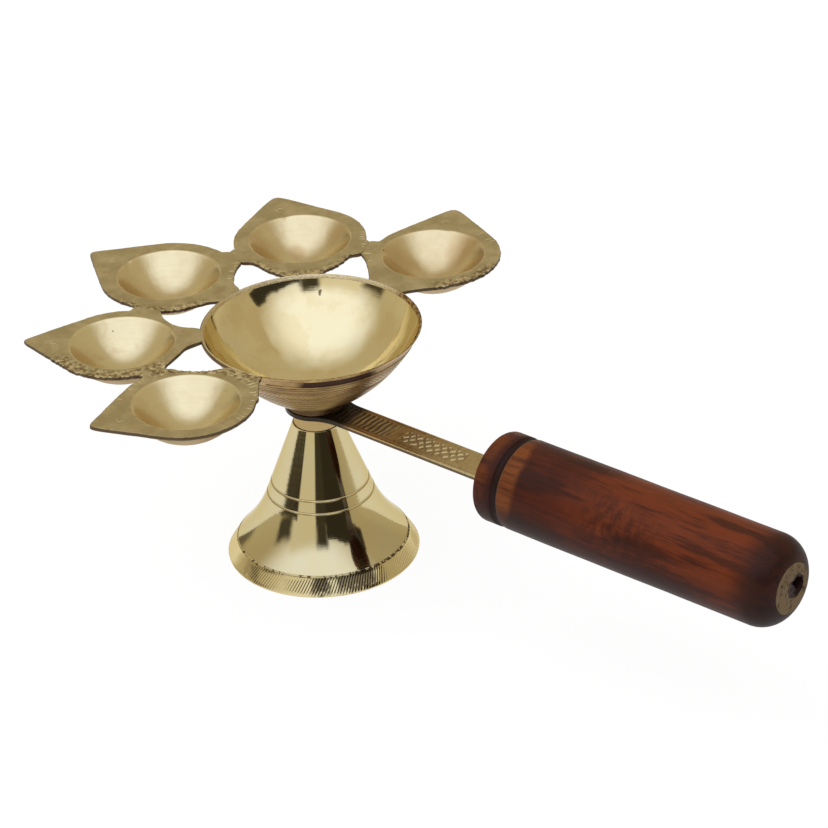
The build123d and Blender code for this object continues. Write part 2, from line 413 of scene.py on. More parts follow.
def armBrass():
    finish, place = newFinish("armBrass")
    x, _, z = axesOf(place)
    cut = attribute(place, "cut")
    bar = attribute(place, "bar")
    skin = grain(place, 1.3, 5.0, 0.6)
    stain = grain(place, 0.16, 5.0, 0.65)
    # painted shade on the arm's sides
    sides = 1 - ease(z, armTop - 0.7, armTop - 0.5)
    scratches = grain(place, 0.9, 4.0, 0.65, (1.4, 0.35, 1.0))
    far = ease(x, 22, 62)  # the lamp's end is browner than the grip's end
    underBowlShadow = 1 - ease(x + 4 * stain, 16, 22)  # and painted black shadow under the bowl
    colour = layered(
        brass, "stain",
        (ease(stain, 0.4, 0.7) * 0.5, "tarnish"),
        (far * 0.85, "cast"),
        (ease(skin, 0.52, 0.68) * 0.35, "castLight"),
        (ease(scratches, 0.52, 0.68) * 0.5, "tarnish"),
        (bar * 0.85, "castLight"),
    )
    grooves = cut * (0.9 - 0.5 * ease(x, 29, 35) - 0.2 * far)
    # oil in the grooves, with the painted shade on the sides and the painted shadow under the bowl
    dirtShadeAndReflection = most(sides * 0.8, underBowlShadow * 0.95, grooves)
    colour = mixColour(dirtShadeAndReflection, colour, mixColour(underBowlShadow, brass["grimeShadeAndReflection"], brass["shadowBlack"]))
    relief = skin * 0.08
    others = {"Specular IOR Level": 0.25}
    return finished(finish, colour, 1 - 0.7 * dirtShadeAndReflection, 0.26 + 0.14 * skin, relief, others)


wood = {
    "dark": rgb(0.030, 0.0085, 0.005),
    "body": rgb(0.071, 0.0138, 0.0056),
    "glow": rgb(0.160, 0.031, 0.0078),
    "band": rgb(0.22, 0.062, 0.013),
    "burnt": rgb(0.016, 0.0065, 0.005),
    "endGrain": rgb(0.23, 0.16, 0.085),
    "knot": (120.0, -11.0, 57.5),  # its middle, in mm
    "bandWidth": 5.4,
}


def lacqueredWood():
    finish, place = newFinish("lacqueredWood")
    x, y, z = axesOf(place)
    streaks = grain(place, 0.55, 5.0, 0.65, (0.07, 1.0, 1.0))
    fibres = grain(place, 2.2, 4.0, 0.6, (0.045, 1.0, 1.0))
    mottle = grain(place, 0.06, 5.0, 0.55, (0.6, 1.0, 1.0))
    figure = grain(place, 0.5, 4.0, 0.65, (1.0, 0.5, 0.5))
    veins = grain(place, 0.2, 4.0, 0.6, (0.14, 1.0, 1.0))  # broad dark veins along the grip
    ends = grain(place, 0.25, 4.0, 0.6)
    cracks = grain(place, 0.3, 3.0, 0.6, (0.3, 1.0, 0.35))
    groove = gripFront + grip["grooveFromFront"]
    height = z - gripAxis
    edge = 1.2 * (streaks - 0.5)
    burnt = between(x, groove - 1.1, groove + 1.2, 0.8)
    shaded = between(x, groove - 3.8, groove + 1.0, 1.2)  # painted shade: darker just before and in the groove
    lip = between(x, groove + 1.3, groove + 1.7, 0.15)  # worn edge of the groove
    rear = ease(x + 9 * (mottle - 0.5), gripEnd - 13.5, gripEnd - 4.5)
    front = 1 - ease(x, groove - 3.5, groove - 2.0)
    endFace = ease(x, gripEnd - 0.1, gripEnd - 0.02)
    toKnot = place.node("VectorMath", {"operation": "SUBTRACT"}, {0: place, 1: wood["knot"]})
    toKnot = place.node("VectorMath", {"operation": "MULTIPLY"}, {0: toKnot, 1: (0.55, 1.0, 1.0)})
    knot = place.node("VectorMath", {"operation": "LENGTH"}, {0: toKnot}, "Value")
    knot = 1 - ease(knot + 16 * (mottle - 0.5), 2.0, 15.0)
    warm = ease(x, gripFront + 22, gripFront + 50)  # redder and lighter towards the rear
    bandLitSide = ease(0.61 * height - 0.79 * y + 14 * (mottle - 0.5), 5, 13)  # painted highlight: the pale band is drawn bright and wide on the side facing the camera
    width = wood["bandWidth"] * (0.55 + 0.5 * bandLitSide)
    band = between(x + 2.5 * edge, groove + 1.2, groove + 1.2 + width, 1.2)
    # the pale band: a third of it everywhere, the rest a painted highlight on the lit side
    glint = band * (0.3 + 0.7 * bandLitSide) * ease(streaks + 0.3 * fibres, 0.35, 0.85)
    # painted light: the wood is drawn lighter towards the top
    litTop = ease(height, -6, 9)
    tone = 0.6 * mottle + 0.4 * streaks + 0.1 * warm + 0.1 * litTop - 0.1
    colour = layered(
        wood, "dark",
        (ease(tone, 0.34, 0.57), "body"),
        (ease(tone, 0.47, 0.64) * (0.2 + 0.8 * warm), "glow"),
        (front * 0.4 * ease(figure + 0.3 * litTop, 0.5, 0.8), "band"),
        (ease(fibres, 0.48, 0.68) * 0.35, "dark"),
        (ease(veins, 0.48, 0.62) * 0.7, "dark"),
        (knot * ease(figure, 0.35, 0.6) * 0.65, "dark"),
        (glint, "band"),
        (lip * 0.35, "endGrain"),
        (shaded * 0.5, "dark"),
        (ease(height, 2, -9) * 0.6, "dark"),  # painted shade: darker underneath
        (burnt * 0.88, "burnt"),
        (rear * 0.8, "burnt"),
        (endFace * ease(ends, 0.28, 0.40), "endGrain"),
        (endFace * between(cracks, 0.49, 0.51, 0.012) * 0.7, "burnt"),
    )
    relief = fibres * 0.03 + streaks * 0.04 + endFace * ends * 0.8
    roughness = 0.45 + 0.2 * fibres + 0.2 * endFace
    others = {"Specular IOR Level": 0.12, "Coat Weight": 0.06 * (1 - endFace), "Coat Roughness": 0.2}
    return finished(finish, colour, 0.0, roughness, relief, others)


steel = {
    "plated": rgb(0.55, 0.55, 0.53),
    "dull": rgb(0.36, 0.35, 0.32),
}


def platedSteel():
    finish, place = newFinish("platedSteel")
    cloud = grain(place, 0.35, 4.0, 0.6)
    marks = grain(place, 1.5, 3.0, 0.6, (0.1, 0.1, 1.0))
    colour = layered(steel, "plated", (cloud, "dull"))
    return finished(finish, colour, 1.0, 0.3 + 0.2 * cloud, marks * 0.02)


def finishOf(make):  # made once, when the first piece asks for it
    return bpy.data.materials.get(make.__name__) or make()


# Modelling helpers


def circleThrough(start, middle, end):
    ax, ay = start
    bx, by = middle
    cx, cy = end
    twice = 2 * (ax * (by - cy) + bx * (cy - ay) + cx * (ay - by))
    sa, sb, sc = ax * ax + ay * ay, bx * bx + by * by, cx * cx + cy * cy
    ox = (sa * (by - cy) + sb * (cy - ay) + sc * (ay - by)) / twice
    oy = (sa * (cx - bx) + sb * (ax - cx) + sc * (bx - ax)) / twice
    return (ox, oy), hypot(ax - ox, ay - oy)


def bow(start, middle, end, steps):  # points after start on the arc through three points
    (ox, oy), radius = circleThrough(start, middle, end)
    first = atan2(start[1] - oy, start[0] - ox)
    half = atan2(middle[1] - oy, middle[0] - ox) - first
    half = (half + pi) % (2 * pi) - pi
    turn = (atan2(end[1] - oy, end[0] - ox) - first) % (2 * pi)
    if half < 0:
        turn -= 2 * pi
    angles = [first + turn * (i + 1) / steps for i in range(steps)]
    return [(ox + radius * cos(a), oy + radius * sin(a)) for a in angles]


def capRadius(half, depth):  # of the sphere whose cap has this half width and depth
    return (half**2 + depth**2) / (2 * depth)


def run(start, end, steps):  # points after start on a straight line
    return [tuple(a + (b - a) * (i + 1) / steps for a, b in zip(start, end)) for i in range(steps)]


def lathe(bm, points, steps, closed, layer=None, shares=None, bearing=0.0):
    # turns (radius, height) points about the Z axis: one wedge is spun, then repeated
    wedges = 8
    weld = 0.003  # mm
    lead = (cos(bearing), sin(bearing))
    verts = [bm.verts.new((r * lead[0], r * lead[1], z)) for r, z in points]
    if layer is not None:
        for vert, share in zip(verts, shares):
            vert[layer] = share
    edges = [bm.edges.new(pair) for pair in zip(verts, verts[1:])]
    if closed:
        edges.append(bm.edges.new((verts[-1], verts[0])))
    about = {"cent": (0, 0, 0), "axis": (0, 0, 1)}
    wedge = 2 * pi / wedges
    bmesh.ops.spin(bm, geom=verts + edges, angle=wedge, steps=steps // wedges, **about)
    whole = bm.verts[:] + bm.edges[:] + bm.faces[:]
    bmesh.ops.spin(bm, geom=whole, angle=2 * pi - wedge, steps=wedges - 1, use_duplicate=True, **about)
    bmesh.ops.remove_doubles(bm, verts=bm.verts, dist=weld)
    bmesh.ops.recalc_face_normals(bm, faces=bm.faces)


def columnOf(vert, steps, bearing=0.0):
    return round((atan2(vert.co.y, vert.co.x) - bearing) / (2 * pi) * steps) % steps


def outward(vert):  # level direction away from the Z axis
    return Vector((vert.co.x, vert.co.y, 0)).normalized()


def turned(vert, angle):  # the vertex's place turned about the Z axis
    return Matrix.Rotation(angle, 3, "Z") @ vert.co


def finishPiece(name, bm, body, node, coats, sharp=38):
    bmesh.ops.scale(bm, vec=(mm, mm, mm), verts=bm.verts)
    mesh = meshFrom(name, bm)
    for coat in coats:
        mesh.materials.append(finishOf(coat))
    mesh.shade_smooth()
    mesh.set_sharp_from_angle(angle=radians(sharp))
    piece = addObject(name, mesh)
    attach(piece, body)
    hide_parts(node)
    print(name, len(mesh.polygons), "faces")


def wobble(x, y, seed, scale=1.0):
    return noise.noise(Vector((x * scale, y * scale, seed)))


def clamp(value, low=0.0):
    return min(1.0, max(low, value))


# Bell pedestal

bell = {
    "footRadius": 29.5,
    "footEdge": 0.8,
    "footLand": 3.6,
    "bandHeight": 5.7,
    "bandTop": 26.4,
    "flareHeight": 15.3,
    "flareTop": 16.6,
    "notchShare": 0.4 / 17,  # of the flare's arc, taken up by the notch at its foot
    "coneTop": 8.6,
    "shoulderHeight": 3.0,
    "shoulderTop": 7.4,
    "collarRadius": 7.0,
    "collarHeight": 4.9,
    "wall": 2.4,
    "boltHole": 3.1,
    "turnedLines": (21.7, 25.4),
    "lineRadius": 0.4,
    "strokeCount": 192,
    "strokeDepth": 0.09,
    "strokeSlant": 2.6,  # strokes that the slant crosses over the band's height
    "strokeUneven": 0.7,  # share by which their depth varies
    "columnsPerStroke": 4,
    "flareSteps": 26,
    "grimySide": (-30, 70, 15),  # bearings and softness
    # painted dark reflections on the foot band: share, bearings and softness of each
    "reflectionPatches": ((1.0, -56, -46, 1.5), (1.0, -40, -14, 2), (0.4, -112, -95, 3)),
}


def makeBell(size):
    height = armBottom
    coneFoot = size["bandHeight"] + size["flareHeight"]
    coneHead = height - size["collarHeight"] - size["shoulderHeight"]
    tilt = atan2(size["flareTop"] - size["coneTop"], coneHead - coneFoot)
    spread = size["bandTop"] - size["flareTop"]
    halfTurn = atan2(spread, size["flareHeight"]) - tilt
    radius = hypot(spread, size["flareHeight"]) / (2 * sin(halfTurn))
    centre = (size["flareTop"] + radius * cos(tilt), coneFoot + radius * sin(tilt))

    def flare(share, wall):  # share 0 at the cone, 1 at the band
        angle = tilt + 2 * halfTurn * share
        return centre[0] - (radius + wall) * cos(angle), centre[1] - (radius + wall) * sin(angle)

    def cone(z, wall=0.0):
        return size["coneTop"] + (coneHead - z) * tan(tilt) - wall / cos(tilt)

    nose = size["lineRadius"]

    def line(z):  # round-nosed groove across the cone
        low = (cone(z - nose), z - nose)
        high = (cone(z + nose), z + nose)
        return [low] + bow(low, (cone(z) - nose * 0.9, z), high, 6)

    foot = (size["footRadius"], size["footEdge"])
    bandTop = (size["bandTop"] + nose * 0.5, size["bandHeight"] - nose * 0.8)
    notch = (size["bandTop"] - nose * 0.7, size["bandHeight"] - nose * 0.3)
    notchEnd = 1 - size["notchShare"]  # where the flare begins above the notch
    toe = (foot[0] - foot[1], 0)
    outside = [toe] + bow(toe, (foot[0] - 0.2, 0.25), foot, 4)
    outside += run(foot, bandTop, 10)
    outside += bow(bandTop, notch, flare(notchEnd, 0), 5)
    outside += [flare(notchEnd - i / size["flareSteps"], 0) for i in range(1, size["flareSteps"])]
    for z in size["turnedLines"]:
        outside += line(z)
    shoulder = (size["shoulderTop"], coneHead + size["shoulderHeight"])
    outside += run(outside[-1], shoulder, 8)
    collar = size["collarRadius"]
    outside += [(collar + 0.05, shoulder[1] + 0.05), (collar, shoulder[1] + 0.25)]
    outside += run(outside[-1], (collar, height - 0.3), 4) + [(collar - 0.3, height)]
    hollow = [(size["boltHole"], height), (size["boltHole"], nutSeat)]
    hollow += [(cone(nutSeat, size["wall"]), nutSeat)]
    hollow += [flare(i / 10, size["wall"]) for i in range(11)]
    hollow += [(toe[0] - size["footLand"], 0)]
    bm = bmesh.new()
    isHollow = bm.verts.layers.float.new("hollow")
    steps = size["strokeCount"] * size["columnsPerStroke"]
    lathe(bm, outside + hollow, steps, True, isHollow, [0.0] * len(outside) + [1.0] * len(hollow))
    slant = size["strokeSlant"] * 2 * pi / size["strokeCount"]
    for vert in bm.verts:
        share = (vert.co.z - foot[1]) / (bandTop[1] - foot[1])  # height on the foot band
        if vert[isHollow] == 0 and 0.01 < share < 0.99:
            if columnOf(vert, steps) % size["columnsPerStroke"] == 0:
                uneven = size["strokeUneven"] * wobble(vert.co.x, vert.co.y, 2.0, 0.15)
                cut = size["strokeDepth"] * (1 + uneven)
                vert.co -= outward(vert) * cut
        if vert[isHollow] == 0:  # the columns lean, and the strokes with them
            vert.co = turned(vert, slant * clamp(share))
    for face in bm.faces:
        face.material_index = int(all(vert[isHollow] > 0 for vert in face.verts))
    bm.verts.layers.float.remove(isHollow)
    finishPiece("bellPedestal", bm, "stand", "pedestal", (polishedBrass, rawBrass))


makeBell(bell)

# Centre bowl

bowl = {
    "rimRadius": 33.2,
    "rimLip": 0.5,
    "innerDepth": 21.2,
    "outerDepth": 24.4,
    "bellyDepth": 10.0,
    "bellyRadius": 26.7,
    "bossRadius": 9.3,
    "flange": 0.25,  # land that carries the leaves
    "flangeDrop": 0.15,  # under the leaves' top, so that the faces don't meet
    "flangeDepth": 1.15,
    "recess": (1.2, 3.8),  # groove under the rim, as depths below it
    "recessDepth": 0.3,
    "featherRows": (6.0, 12.0),  # engraved strokes, as depths below the rim
    "featherSlant": 3.0,  # strokes that the slant crosses
    "ringDepths": (4.6, 5.6, 12.6, 13.8, 15.4, 17.2),
    "ringRows": (-0.35, -0.12, 0.12, 0.35),  # rows of points across each ring
    "ringWidth": 0.24,
    "plainRows": ((0.3, 0.5, 4), (2.5, 0.7, 16), (13.5, 0.9, 12)),  # first depth, spacing, count
    "rimInner": ((-0.12, -0.14), (0.05, -0.03), (0.22, 0.0)),  # from the mouth's edge
    "rimOuter": ((-0.25, 0.0), (-0.07, -0.05)),  # from the rim's edge
    "insideSteps": 30,
    "fanLap": 0.27,  # radians by which the flange reaches past the outer cups' bearings
    "fanFade": 0.06,
    "reflectionPatches": ((0.8, -57, -13, 3), (0.2, -57, 100, 3)),  # painted dark reflections in the recess
    "strokeCount": 120,
    "strokeDepth": 0.16,
    "columnsPerStroke": 4,
}

leaves = {
    "cups": (89.5, 134.5, 181.0, 226.0, 270.3),  # bearings, in degrees
    "tips": (116.0, 146.0, 186.5, 213.0, 243.5),
    "offsets": (0.2, 0.2, 0.5, 0.1, -0.9),
    # width of the margin round each cup, towards lower and towards higher bearings
    "lands": ((5.2, 3.4), (5.1, 4.9), (5.2, 5.4), (3.9, 5.2), (4.5, 4.6)),
    "standoff": 23.4,  # bowl rim to cup centre
    "drops": (0.03, 0.06),  # below the rim, by turns, so that neighbours' faces don't meet
    "cupMouth": 15.7,
    "cupDepth": 9.5,
    "cupWall": 2.0,
    "cupSteps": 22,
    "cupEdge": ((-0.5, -0.62), (-0.18, -0.3), (0.1, -0.11), (0.35, -0.02)),  # from the mouth's edge
    "cupLip": 0.6,
    "topShares": (0.0, 0.06, 0.14, 0.24, 0.36, 0.48, 0.6, 0.72, 0.82, 0.9, 0.965),  # of the margin
    "underSteps": 12,
    "plate": 2.0,
    "tipReach": 29.9,
    "tipRounding": (0.06, 0.055, 0.03, 0.02, 0.03),  # radians over which each tip is blunted
    "neckStart": 128.0,  # where a free side leaves the round margin, from the leaf's own bearing
    "neckSpread": 14.4,  # and where it meets the bowl, as a change of bearing
    "neckBend": 3.0,  # reach past the rim at which it turns to the bowl
    "neckLap": 0.2,
    "webLap": 0.12,  # degrees by which neighbours overlap
    "webReach": 23.3,
    # the four windows, on the leaf of the lower bearing and on the other one: from the web to the bowl,
    # as reach past the rim and bearing from the web
    "windows": (
        (
            ((14.2, 0.0), (12.7, -1.6), (10.4, -3.9), (4.7, -8.5), (1.3, -12.0)),
            ((14.2, 0.0), (13.4, 2.9), (11.9, 4.0), (5.6, 7.2), (2.8, 10.8), (1.3, 12.6)),
        ),
        (
            ((14.4, 0.0), (13.9, -2.6), (11.9, -4.4), (6.9, -6.0), (3.2, -9.0), (1.3, -11.5)),
            ((14.4, 0.0), (13.0, 2.2), (11.2, 4.6), (7.9, 8.4), (3.8, 12.8), (1.3, 13.4)),
        ),
        (
            ((14.2, 0.8), (8.8, -1.6), (4.5, -9.2), (2.9, -12.3), (1.3, -14.5)),
            ((14.2, 0.8), (12.3, 6.2), (8.8, 11.1), (5.6, 13.4), (1.3, 13.9)),
        ),
        (
            ((15.0, -0.8), (13.6, -3.0), (8.8, -7.6), (5.3, -13.0), (2.6, -14.6), (1.3, -15.2)),
            ((15.0, -0.8), (12.0, 4.0), (7.7, 9.7), (4.3, 13.1), (1.3, 15.0)),
        ),
    ),
    "neckMargin": 0.7,  # a free side stands out this much where it turns towards the bowl
    "marginThickness": 1.15,  # the plate is thinner at its edge
    "edgeWander": 0.12,  # mm, slow unevenness of the outline
    "edgeRough": (0.08, 0.3),  # mm, its fine unevenness, and what a lumpy edge adds to it
    "topWander": 0.12,  # mm, slow unevenness of the top
    "wickWidth": 1.5,
    "wickDepth": 0.3,
    "wickLength": 2.5,
    "strokeDepth": 0.14,
    "strokeEnd": 0.93,  # share of the margin's width
    # where each leaf has hatch strokes on its margin, as turns from the tip in degrees
    "strokes": (
        ((66, 118), (-60, -28)),
        ((-130, -88),),
        ((-165, -125),),
        ((-150, -118),),
        ((118, 190), (-80, -28)),
    ),
    "rugged": ((-172, -95), (112, 228), (75, 165), (22, 150), (-182, -75)),  # and where it is lumpy
    "ruggedFrom": (0.2, 0.5, 0.5, 0.0, 0.2),  # share of the margin's width where the lumps begin
    "ruggedSoft": 12,  # degrees
    "ruggedDepth": 0.4,
    "columnsPerStroke": 5,
    "curl": (21.3, 0.9),  # engraver's small curl: along and across the leaf
    "curlRadii": (0.9, 1.3),
    # where old ghee has browned the cups: bearing and reach from the middle, size, strength
    "stains": (
        ((86.0, 11.8, 6.0, 0.95), (200.0, 12.0, 8.0, 0.8), (0.0, 0.0, 60.0, 0.45)),
        ((143.0, 6.0, 3.2, 1.0), (215.0, 12.0, 8.0, 0.7), (70.0, 14.0, 7.0, 0.6), (0.0, 0.0, 60.0, 0.32)),
        ((226.0, 12.0, 8.0, 0.75), (0.0, 0.0, 60.0, 0.28)),
        ((229.0, 13.5, 8.0, 0.5), (41.0, 15.0, 4.0, 0.4)),
        ((229.0, 13.5, 8.0, 0.55), (41.0, 15.0, 4.0, 0.35)),
    ),
    "steps": 384,
}


def bowlProfile(size):
    # points from the bowl's middle over its rim to the boss, and their zones: inside, rim, outside
    mouth = size["rimRadius"] - size["rimLip"]
    depth = size["innerDepth"]
    sphere = capRadius(mouth, depth)
    middle = rimHeight - depth + sphere
    reach = asin(mouth / sphere)
    angles = [reach * i / size["insideSteps"] for i in range(size["insideSteps"])]
    inside = [(sphere * sin(angle), middle - sphere * cos(angle)) for angle in angles]
    rim = [(mouth + along, rimHeight + up) for along, up in size["rimInner"]]
    rim += [(size["rimRadius"] + along, rimHeight + up) for along, up in size["rimOuter"]]
    edge = (size["rimRadius"], rimHeight)
    belly = (size["bellyRadius"], rimHeight - size["bellyDepth"])
    waist = (size["bossRadius"], rimHeight - size["outerDepth"])
    (across, up), radius = circleThrough(edge, belly, waist)
    drops = [start + gap * i for start, gap, count in size["plainRows"] for i in range(count)]
    drops += [ring + row for ring in size["ringDepths"] + size["recess"] for row in size["ringRows"]]
    drops = sorted(drop for drop in set(drops) if drop < size["outerDepth"] - 0.2)
    heights = [rimHeight - drop for drop in drops]
    outside = [(across + sqrt(radius**2 - (z - up) ** 2), z) for z in heights] + [waist]
    outside += [(size["bossRadius"], armTop + 0.3), (size["bossRadius"] - 0.3, armTop), (0, armTop)]
    zones = [0.0] * len(inside) + [1.0] * len(rim) + [2.0] * len(outside)
    return inside + rim + outside, zones


def makeBowl(size):
    points, zones = bowlProfile(size)
    mouth = size["rimRadius"] - size["rimLip"]
    bm = bmesh.new()
    zoneOf = bm.verts.layers.float.new("zone")
    cutOf = bm.verts.layers.float.new("cut")
    steps = size["strokeCount"] * size["columnsPerStroke"]
    lathe(bm, points, steps, False, zoneOf, zones)
    first, last = (radians(leaves["cups"][i]) for i in (0, -1))
    slant = size["featherSlant"] * 2 * pi / size["strokeCount"]
    top, bottom = size["featherRows"]
    for vert in bm.verts:
        bearing = atan2(vert.co.y, vert.co.x) % (2 * pi)
        drop = rimHeight - vert.co.z
        inFan = clamp((min(bearing - first, last - bearing) + size["fanLap"]) / size["fanFade"])
        out = hypot(vert.co.x, vert.co.y)
        if vert[zoneOf] == 1 and out > mouth + 0.1:
            vert.co.z -= size["flangeDrop"] * inFan
        if vert[zoneOf] < 2:
            continue
        push = 0.0
        if drop < size["flangeDepth"]:
            push = (size["rimRadius"] + size["flange"] - out) * inFan
            vert.co.z -= size["flangeDrop"] * inFan
        if size["recess"][0] < drop < size["recess"][1]:
            push -= size["recessDepth"] * (1 - inFan)
        cut = sum(exp(-(((drop - ring) / size["ringWidth"]) ** 2)) for ring in size["ringDepths"])
        feather = (drop - top) / (bottom - top)
        if 0 < feather < 1 and columnOf(vert, steps) % size["columnsPerStroke"] < 2:
            # the strokes fade at the band's middle and edges
            cut += min(1.0, 5 * abs(feather - 0.5), 8 * min(feather, 1 - feather))
        vert[cutOf] = min(1.0, cut)
        push -= size["strokeDepth"] * cut
        if out > 1:
            vert.co += outward(vert) * push
        lean = clamp(2 * feather)
        if feather > 0.5:
            lean = max(0.0, 2 - 2 * feather)
        vert.co = turned(vert, slant * lean)
    for face in bm.faces:
        face.material_index = int(max(vert[zoneOf] for vert in face.verts))
    bm.verts.layers.float.remove(zoneOf)
    coats = (bowlBrass, rimBrass, engravedBrass)
    finishPiece("centreBowl", bm, "head", "lamp_head", coats)


makeBowl(bowl)

# Leaves with their wick cups


def polar(radius, bearing):
    return Vector((radius * cos(radians(bearing)), radius * sin(radians(bearing))))


def rayTo(path, angle):  # distance from the origin to a path of points, or None
    ahead = Vector((cos(angle), sin(angle)))
    best = None
    for start, end in zip(path, path[1:]):
        low, high = ahead.cross(start), ahead.cross(end)
        if low * high > 0 or low == high:
            continue
        hit = ahead.dot(start.lerp(end, low / (low - high)))
        if hit > 0 and (best is None or hit < best):
            best = hit
    return best


def rounded(points, times):  # cuts a path's corners off and keeps its ends
    for _ in range(times):
        cut = [points[0]]
        for a, b in zip(points, points[1:]):
            cut += [a.lerp(b, 0.25), a.lerp(b, 0.75)]
        points = cut + [points[-1]]
    return points


def cupCentre(index, size):
    reach = bowl["rimRadius"] + size["standoff"] + size["offsets"][index]
    return polar(reach, size["cups"][index])


def marginReach(index, turn, size):  # from the cup's centre to its round margin's edge, on that side
    return size["cupMouth"] + size["lands"][index][int(turn > 0)]


def innerPath(index, size):
    # where a leaf meets its neighbours, the windows and the bowl, seen from its cup's centre
    cups = size["cups"]
    rim = bowl["rimRadius"]
    centre = cupCentre(index, size)
    root = rim - bowl["rimLip"] * 0.75
    sides = []
    for step in (1, -1):
        other = index + step
        if 0 <= other < len(cups):
            web = (cups[index] + cups[other]) / 2
            lap = web + size["webLap"] * step
            points = size["windows"][min(index, other)][int(step < 0)]
            side = [polar(rim + size["webReach"], lap), polar(rim + points[0][0], lap + points[0][1])]
            side += rounded([polar(rim + reach, web + turn) for reach, turn in points], 2)[1:]
            inner = web + points[-1][1] - step
        else:
            edge = marginReach(index, step, size) + size["neckMargin"]
            start = centre + polar(edge, cups[index] + step * size["neckStart"])
            inner = cups[index] + step * size["neckSpread"]
            bend = polar(rim + size["neckBend"], inner + step)
            side = rounded([start, bend, polar(rim + size["neckLap"], inner)], 2)
        sides.append((side, inner))
    (left, leftInner), (right, rightInner) = sides
    arc = [polar(root, leftInner + (rightInner - leftInner) * i / 8) for i in range(9)]
    return [point - centre for point in left + arc + right[::-1]]


def leafOutline(index, size):
    # distance from the cup's centre to the leaf's edge, for each step round it from the tip
    steps = size["steps"]
    path = innerPath(index, size)
    tip = radians(size["tips"][index])
    blunt = size["tipRounding"][index]
    reach = []
    for i in range(steps):
        turn = (2 * pi * i / steps + pi) % (2 * pi) - pi
        edge = marginReach(index, turn, size)
        lean = acos(edge / size["tipReach"]) + blunt
        free = edge / cos(hypot(turn, blunt) - lean) if hypot(turn, blunt) < lean else edge
        joined = rayTo(path, tip + turn)
        reach.append(free if joined is None else joined)
    for _ in range(3):  # rounds the corners off
        reach = [(reach[i - 1] + 2 * reach[i] + reach[(i + 1) % steps]) / 4 for i in range(steps)]
    return reach


def within(degrees, low, high, soft):  # 1 well inside a range of turns, 0 outside it
    inside = max(min(d - low, high - d) for d in (degrees - 360, degrees, degrees + 360))
    return clamp(inside / soft)


def leafProfile(size):
    # points from the cup's middle over the margin and back under it, and their shares of the margin's
    # width, which are -1 on the cup. makeLeaf stretches the margin to the leaf's outline
    mouth, depth, plate = size["cupMouth"], size["cupDepth"], size["plate"]
    thin = size["marginThickness"]
    sphere = capRadius(mouth, depth)
    lift = sphere - depth
    outer = sphere + size["cupWall"]
    shares = [i / size["cupSteps"] for i in range(size["cupSteps"] - 1)]
    inside = [(mouth * share, -depth * (1 - share**2)) for share in shares]
    inside += [(mouth + along, z) for along, z in size["cupEdge"]]
    rows = [(0.0, share) for share in size["topShares"]]
    rows += [(-0.1, 0.99), (-0.35, 1.0), (0.3 - thin, 1.0), (-thin, 0.985)]  # round the edge
    rows += [(-(thin + plate) / 2, 0.85), (-plate, 0.6), (-plate, 0.4)]  # and under the plate
    margin = [(mouth + size["cupLip"] + 5 * share, z) for z, share in rows]
    under = asin(sqrt(outer**2 - (lift + plate) ** 2) / outer)
    angles = [under * i / size["underSteps"] for i in range(size["underSteps"], -1, -1)]
    outside = [(outer * sin(angle), lift - outer * cos(angle)) for angle in angles]
    onMargin = [-1.0] * len(inside) + [share for _, share in rows] + [-1.0] * len(outside)
    return inside + margin + outside, onMargin


